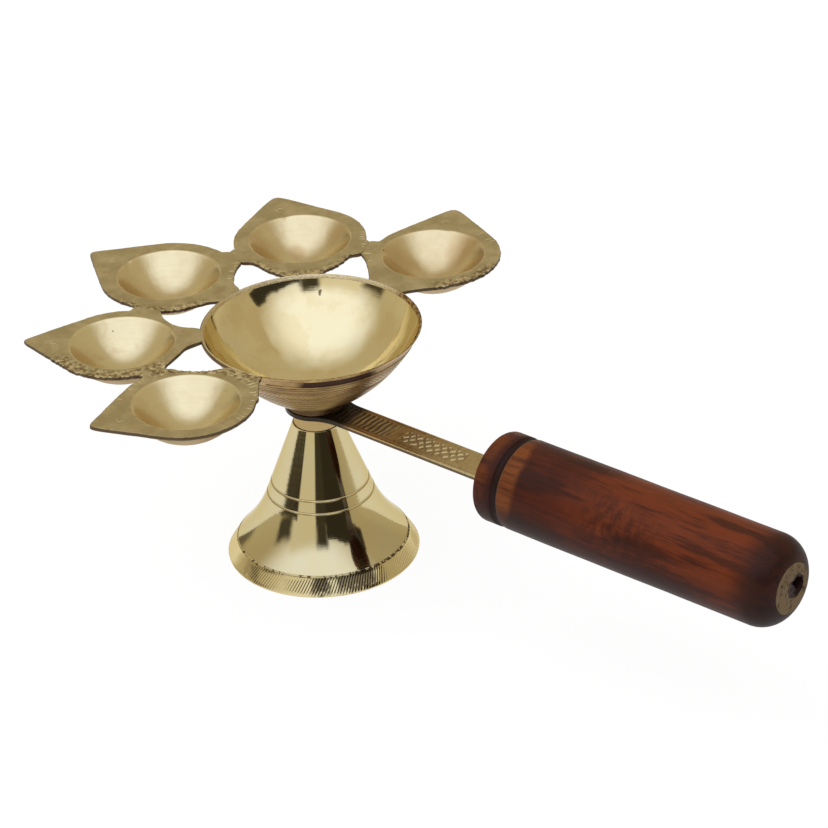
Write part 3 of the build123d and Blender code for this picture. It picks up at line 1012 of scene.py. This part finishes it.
def makeLeaf(index, size):
    mouth = size["cupMouth"]
    lip = mouth + size["cupLip"]
    points, shares = leafProfile(size)
    tip = radians(size["tips"][index])
    bm = bmesh.new()
    shareOf = bm.verts.layers.float.new("share")
    steps = size["steps"]
    lathe(bm, points, steps, False, shareOf, shares, tip)
    outline = leafOutline(index, size)
    leafPlace = bm.verts.layers.float_vector.new("leafPlace")
    cutOf = bm.verts.layers.float.new("cut")
    ruggedOf = bm.verts.layers.float.new("rugged")
    edgeOf = bm.verts.layers.float.new("edge")
    spun = Matrix.Rotation(-tip, 3, "Z")
    plain, lumpy = size["edgeRough"]
    for vert in bm.verts:
        x, y, z = vert.co
        turn = atan2(y, x)
        column = columnOf(vert, steps, tip)
        share = vert[shareOf]
        degrees = column / steps * 360
        if share >= 0:
            rugged = within(degrees, *size["rugged"][index], size["ruggedSoft"])
            rough = size["edgeWander"] * wobble(x, y, index * 7.0, 0.5)
            rough += (plain + lumpy * rugged) * wobble(x, y, index * 3.0, 1.3)
            radius = lip + (outline[column] + rough - lip) * share
            x, y = radius * cos(turn), radius * sin(turn)
            rugged *= clamp((share - size["ruggedFrom"][index]) / 0.25)
            vert[ruggedOf] = rugged
            # lower part of the rounded edge, which the leaf finish darkens as painted shade
            vert[edgeOf] = clamp((share - size["topShares"][-1]) / 0.03) if z < 0 else 0.0
            if z > -0.3:
                z += size["topWander"] * wobble(x, y, index * 5.0, 0.12) * min(1.0, 3 * share)
                z -= size["ruggedDepth"] * rugged * max(0.0, 0.2 + wobble(x, y, index * 2.0, 0.9))
                stroke = column / size["columnsPerStroke"]
                marked = any(within(degrees, low, high, 1) == 1 for low, high in size["strokes"][index])
                inner = 0.5 + 0.5 * wobble(stroke * 1.7, index * 3.1, 0.5)
                marked = marked and wobble(stroke * 2.3, index * 5.3, 1.5) > -0.2
                if marked and inner < share < size["strokeEnd"] and stroke == int(stroke):
                    z -= size["strokeDepth"]
                    vert[cutOf] = 0.8 + 0.8 * wobble(stroke * 1.3, share * 4, 2.5)
        elif z > -size["cupDepth"]:
            for way, reach, spread, strength in size["stains"][index]:
                off = Vector((x, y)) - polar(reach, way)
                vert[cutOf] = max(vert[cutOf], strength * exp(-((off.length / spread) ** 2)))
        local = spun @ Vector((x, y, z))
        if z > -1 and local.x > 0:  # shallow notch for the wick
            notch = exp(-((local.y / size["wickWidth"]) ** 2))
            z -= size["wickDepth"] * notch * max(0.0, 1 - abs(hypot(x, y) - mouth) / size["wickLength"])
        vert[leafPlace] = local
        vert.co = (x, y, z)
    for face in bm.faces:
        inCup = all(hypot(vert.co.x, vert.co.y) < mouth + 0.4 for vert in face.verts)
        face.material_index = int(inCup and face.normal.z > 0)
    bm.verts.layers.float.remove(shareOf)
    centre = cupCentre(index, size)
    drop = size["drops"][index % 2]
    bmesh.ops.translate(bm, vec=(centre.x, centre.y, rimHeight - drop), verts=bm.verts)
    finishPiece(f"wickLeaf{index + 1}", bm, "head", "lamp_head", (leafBrass, cupBrass))


for leafIndex in range(len(leaves["cups"])):
    makeLeaf(leafIndex, leaves)

# Arm

arm = {
    "eyeRadius": 9.4,
    "flareRadius": 15.0,
    "width": 11.4,
    "tangWidth": 8.0,
    "tangTip": 4.0,
    "tangLength": 52.0,
    "ladder": (7.0, 34.0),  # stretch of the ladder pattern, along X
    "ladderPitch": 1.75,
    "hatch": (34.5, 57.5),
    "hatchPitch": 3.05,
    "hatchLean": 0.86,
    "hatchHalfWidth": 2.9,
    "hatchBar": (0.27, 0.1),  # half width and softness of its bars, as shares of the pitch
    "hatchPiece": (0.42, 0.08),  # and half length and softness of their pieces
    "fadeLength": 7.0,  # over which the ladder fades out
    "cutDepth": 0.25,
    "borderInset": 1.3,
    "borderWidth": 0.2,
    "borderEnds": (5.0, 6.0),  # the border line's start from the lamp's axis, and its end before the grip
    "edgeRounding": 0.18,
    "edgeFrom": 0.94,  # share of the half width where it begins
    "inSight": 0.93,  # share of the columns in front of the grip
    "columns": 470,
    "rows": 64,
}


def armHalfWidth(x, size):
    half = size["width"] / 2
    flareY = half + size["flareRadius"]
    flareX = sqrt((size["eyeRadius"] + size["flareRadius"]) ** 2 - flareY**2)
    meet = flareX * size["eyeRadius"] / (size["eyeRadius"] + size["flareRadius"])
    if x < meet:
        return sqrt(max(0.9, size["eyeRadius"] ** 2 - x**2))
    if x < flareX:
        return flareY - sqrt(size["flareRadius"] ** 2 - (x - flareX) ** 2)
    if x <= gripFront:
        return half
    share = (x - gripFront) / size["tangLength"]
    return (size["tangWidth"] + (size["tangTip"] - size["tangWidth"]) * share) / 2


def armCut(x, y, half, size):  # how deep the engraving is and how bright its bars are, from 0 to 1
    border = abs(abs(y) - (half - size["borderInset"]))
    bare = size["borderEnds"]
    cut = 0.6 * exp(-((border / size["borderWidth"]) ** 2)) if bare[0] < x < gripFront - bare[1] else 0.0
    uneven = 0.5 + 0.9 * wobble(x, y, 3.0, 0.45)
    low, high = size["ladder"]
    inner = half - size["borderInset"] - 0.6
    if low < x < high and abs(y) < inner:
        rung = (x - low + 0.5 * wobble(x, y, 8.0, 0.3)) / size["ladderPitch"] % 1.0
        fade = min(1.0, (high - x) / size["fadeLength"])
        gap = exp(-(((rung - 0.5) / 0.3) ** 4)) * fade
        return max(cut, gap), (1 - gap) * clamp(uneven) * fade
    low, high = size["hatch"]
    if low < x < high and abs(y) < size["hatchHalfWidth"]:
        slip = 0.25 * wobble(x, y, 6.0, 0.35)
        bar = abs(((x - y * size["hatchLean"]) / size["hatchPitch"] + slip) % 1.0 - 0.5)
        gap = abs(((x + y * size["hatchLean"]) / size["hatchPitch"] + slip) % 1.0 - 0.5)
        raised = 1.0
        for off, (end, soft) in ((bar, size["hatchBar"]), (gap, size["hatchPiece"])):
            raised *= clamp((end - off) / soft)
        return 1 - raised, raised * clamp(uneven + 0.4, 0.3)
    return cut, 0.0


def openEdges(bm):
    return [edge for edge in bm.edges if edge.is_boundary]


def makeArm(size):
    start = -size["eyeRadius"] + 0.05
    bm = bmesh.new()
    bmesh.ops.create_grid(bm, x_segments=size["columns"], y_segments=size["rows"], size=1.0)
    cutOf = bm.verts.layers.float.new("cut")
    barOf = bm.verts.layers.float.new("bar")
    visible = size["inSight"]
    for vert in bm.verts:
        share = (vert.co.x + 1) / 2
        across = vert.co.y
        if share <= visible:
            x = start + (gripFront - start) * share / visible
        else:
            x = gripFront + size["tangLength"] * (share - visible) / (1 - visible)
        half = armHalfWidth(x, size)
        y = across * half
        edge = (abs(across) - size["edgeFrom"]) / (1 - size["edgeFrom"])
        rounding = size["edgeRounding"] * max(0.0, edge)
        if x < gripFront:
            vert[cutOf], vert[barOf] = armCut(x, y, half, size)
        vert.co = (x, y, armTop - rounding - size["cutDepth"] * vert[cutOf])
    bmesh.ops.recalc_face_normals(bm, faces=bm.faces)
    made = bmesh.ops.extrude_edge_only(bm, edges=openEdges(bm))
    for item in made["geom"]:
        if isinstance(item, bmesh.types.BMVert):
            item.co.z = armBottom
    bmesh.ops.holes_fill(bm, edges=openEdges(bm), sides=0)
    bmesh.ops.recalc_face_normals(bm, faces=bm.faces)
    finishPiece("engravedArm", bm, "handle", "handle_arm", (armBrass,), 50)


makeArm(arm)

# Wooden grip

grip = {
    "radius": 13.8,
    "frontRounding": 1.5,
    "grooveFromFront": 7.8,
    "grooveWidth": 2.6,
    "grooveDepth": 0.9,
    "grooveLip": 0.06,  # drop of the groove's edges
    "endRounding": 8.5,
    "endDisc": 7.6,
    "holeRadius": 1.9,
    "holeDepth": 7.0,
    "holeShift": (0.3, 3.4),  # the hole isn't in the middle
    "chipRadius": 3.6,  # broken grain round the hole
    "chipDepth": 1.2,
    "shiftReach": 4.0,  # from the hole, over which the end face follows its shift
    "swell": 0.006,  # unevenness of the turning
    "swellFrom": 9.0,  # radius, beyond the end's disc
    "steps": 160,
}


def makeGrip(size):
    radius = size["radius"]
    bend = size["frontRounding"]
    front = (radius - bend, gripFront)
    cut = bend * 0.293  # depth of the rounding at 45 degrees
    corner = (radius - cut, gripFront + cut)
    groove = gripFront + size["grooveFromFront"]
    half = size["grooveWidth"] / 2
    edge = radius - size["grooveLip"]
    endStart = gripEnd - size["endRounding"]
    points = [(0, gripFront)] + run((0, gripFront), front, 6)
    points += bow(front, corner, (radius, gripFront + bend), 6)
    points += run(points[-1], (radius, groove - half - 0.15), 3)
    points += [(edge, groove - half)]
    points += bow(points[-1], (radius - size["grooveDepth"], groove), (edge, groove + half), 8)
    points += run(points[-1], (radius, groove + half + 0.2), 1)
    points += run(points[-1], (radius, endStart), 30)
    drop = radius - size["endDisc"]
    bendRadius = capRadius(size["endRounding"], drop)
    halfTurn = asin(size["endRounding"] / bendRadius) / 2
    middle = (radius - bendRadius + bendRadius * cos(halfTurn), endStart + bendRadius * sin(halfTurn))
    points += bow(points[-1], middle, (size["endDisc"], gripEnd), 14)
    points += run(points[-1], (size["holeRadius"], gripEnd), 8)
    points += run(points[-1], (size["holeRadius"] * 0.8, gripEnd - size["holeDepth"]), 4)
    points += [(0, gripEnd - size["holeDepth"] - 0.4)]
    bm = bmesh.new()
    lathe(bm, points, size["steps"], False)
    for vert in bm.verts:
        x, y, z = vert.co
        away = hypot(x, y)
        if away < size["endDisc"] - 0.5 and z > gripEnd - size["holeDepth"] - 1:
            fromHole = max(0.0, away - size["holeRadius"])
            chip = max(0.0, 1 - fromHole / (size["chipRadius"] - size["holeRadius"]))
            ragged = 1 + 0.3 * wobble(x, y, 0.5, 0.9) * max(chip, 0.3)
            pull = max(0.0, 1 - fromHole / size["shiftReach"])
            if z > gripEnd - 0.1:
                z -= size["chipDepth"] * chip * (0.6 + 0.8 * wobble(x, y, 4.0, 0.6))
            x = x * ragged + size["holeShift"][0] * pull
            y = y * ragged + size["holeShift"][1] * pull
        elif away > size["swellFrom"]:
            swell = 1 + size["swell"] * wobble(x, y, z * 0.05, 0.05)
            x, y = x * swell, y * swell
        vert.co = (x, y, z)
    bmesh.ops.rotate(bm, cent=(0, 0, 0), matrix=Matrix.Rotation(pi / 2, 3, "Y"), verts=bm.verts)
    bmesh.ops.translate(bm, vec=(0, 0, gripAxis), verts=bm.verts)
    finishPiece("woodGrip", bm, "handle", "wooden_grip", (lacqueredWood,), 45)


makeGrip(grip)

# Clamp pieces, which show the solids themselves

for nodeName in ("clamp_stud", "clamp_washer", "clamp_nut"):
    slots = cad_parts[nodeName].data.materials
    slots.clear()
    slots.append(finishOf(platedSteel))
print("clamp pieces plated")

# Studio

studio = {
    "table": rgb(0.66, 0.66, 0.66),
    "tableRoughness": 0.9,
    "tableHalf": 4.0,  # m
    "tableDrop": 0.00005,  # m under the foot, so that the faces don't meet
    "tableWhite": 1.09,  # strength of its white, as the camera and the metal see it
    "tableShare": 0.85,  # share of that white, which comes to about 1 with the shaded rest
    "softbox": rgb(1.19, 1.26, 1.46),
    "softboxAim": (62, -20),  # height and bearing of its middle, in degrees
    "softboxSpread": (0.44, 0.93),  # cosines of the angles from it where the light begins and is full
    "softboxLift": (8, 36),  # heights over which it fades in
    "softboxEdge": (0.533, -0.805, -0.258),  # normal of its straight right edge: forward, side, up
    "softboxEdgeAt": (-0.735, -0.70),
    "room": rgb(0.56, 0.49, 0.35),
    "horizon": rgb(0.62, 0.56, 0.41),
    "horizonLift": (24, 2),
    "horizonTurn": (58, 90),
    "frontGap": rgb(0.84, 0.80, 0.68),
    "gapTurn": (-56, -9, 4),  # bearings and softness
    "gapLift": (24, 40),
    "ragged": 8,  # degrees by which the dark things' edges wander
    # dark things in the room: bearings right of the camera, heights, rise per degree, softness, level
    "darks": (
        (-12, 10, -25, 16, 0.0, 1.5, 0.06),
        (-11, 9, 13, 34, 0.0, 4.0, 0.06),
        (9, 57, -25, 16, 0.0, 1.2, 0.04),
        (8, 71, 9, 26, 0.11, 1.2, 0.04),
        (-102, -48, 0, 19.1, 0.208, 1.2, 0.05),
        (-82, -58, 4, 22, 0.0, 4.0, 0.08),
        (-165, -128, -6, 11, 0.0, 6.0, 0.2),
        (72, 165, 9, 27, 0.0, 6.0, 0.54),
    ),
    "darkTint": (1.0, 0.87, 0.62),  # their colour at level 1
    "key": (-0.9, -0.5, 1.6),  # m
    "keySize": 1.1,  # m
    "keyPower": 9.0,  # W
}


def makeWorld(size):
    world = bpy.data.worlds.new("studioRoom")
    bpy.context.scene.world = world
    world.use_nodes = True
    tree = world.node_tree
    start = Paint(tree)
    way = start.node("TexCoord", {}, {}, "Generated")
    x, y, z = axesOf(way)
    turn = radians(photoView["azimuth"])
    forward = x * sin(turn) - y * cos(turn)
    side = x * cos(turn) + y * sin(turn)
    bearing = bearingOf(side, forward)
    lift = start.maths("ARCSINE", z) * (180 / pi)
    ragged = size["ragged"] * (grain(way, 7.0, 4.0, 0.65) - 0.5)

    def along(axis):
        return forward * axis[0] + side * axis[1] + z * axis[2]

    up, across = (radians(angle) for angle in size["softboxAim"])
    aim = (cos(up) * cos(across), cos(up) * sin(across), sin(up))
    softbox = ease(along(size["softboxEdge"]), *size["softboxEdgeAt"])
    softbox = softbox * ease(along(aim), *size["softboxSpread"]) * ease(lift, *size["softboxLift"])
    horizon = ease(lift, *size["horizonLift"]) * ease(abs(bearing), *size["horizonTurn"])
    gap = between(bearing, *size["gapTurn"]) * (1 - ease(lift, *size["gapLift"]))
    colour = mixColour(softbox, mixColour(horizon, size["room"], size["horizon"]), size["softbox"])
    colour = mixColour(gap, colour, size["frontGap"])
    for left, right, low, high, rise, soft, level in size["darks"]:
        above = lift - rise * bearing + ragged
        mask = between(bearing + ragged, left, right, soft) * between(above, low, high, soft)
        colour = mixColour(mask, colour, rgb(*(level * tint for tint in size["darkTint"])))
    background = tree.nodes["Background"]
    plug(background, "Color", colour)
    plug(background, "Strength", 1.0)


def makeFloor(size):
    bm = bmesh.new()
    bmesh.ops.create_grid(bm, x_segments=1, y_segments=1, size=size["tableHalf"])
    bmesh.ops.translate(bm, vec=(0, 0, -size["tableDrop"]), verts=bm.verts)
    mesh = meshFrom("tableTop", bm)
    table = addObject("tableTop", mesh)
    finish, place = newFinish("paleTable")
    tree = finish.node_tree
    shader = tree.nodes["Principled BSDF"]
    plug(shader, "Base Color", size["table"])
    plug(shader, "Roughness", size["tableRoughness"])
    rays = ("Is Camera Ray", "Is Glossy Ray", "Is Transmission Ray")
    seen = most(*(place.node("LightPath", {}, {}, ray) for ray in rays))
    white = place.node("Emission", {}, {"Color": rgb(1, 1, 1), "Strength": size["tableWhite"]})
    matt = Paint(tree, shader.outputs[0])
    lit = place.node("MixShader", {}, {0: seen * size["tableShare"], 1: matt, 2: white})
    behind = place.node("NewGeometry", {}, {}, "Backfacing")
    x, y = axesOf(place)[:2]
    covered = bell["footRadius"] - bell["footEdge"]  # open under the foot, so that the hollow gets light
    hidden = place.maths("LESS_THAN", distance(x, y), covered)
    clear = place.node("BsdfTransparent", {}, {})
    both = place.node("MixShader", {}, {0: most(behind, hidden), 1: lit, 2: clear})
    plug(tree.nodes["Material Output"], "Surface", both)
    mesh.materials.append(finish)


def makeLamp(name, place, size, power):
    light = bpy.data.lights.new(name, "AREA")
    light.size = size
    light.energy = power
    lamp = addObject(name, light)
    lamp.location = place
    aim = Vector(photoView["target"]) * mm - Vector(place)
    lamp.rotation_euler = aim.to_track_quat("-Z", "Y").to_euler()
    lamp.visible_glossy = False  # the metal shows the room, not the lamp


makeWorld(studio)
makeFloor(studio)
makeLamp("keyBox", studio["key"], studio["keySize"], studio["keyPower"])
bpy.context.scene.view_settings.view_transform = "Standard"
print("studio lit")
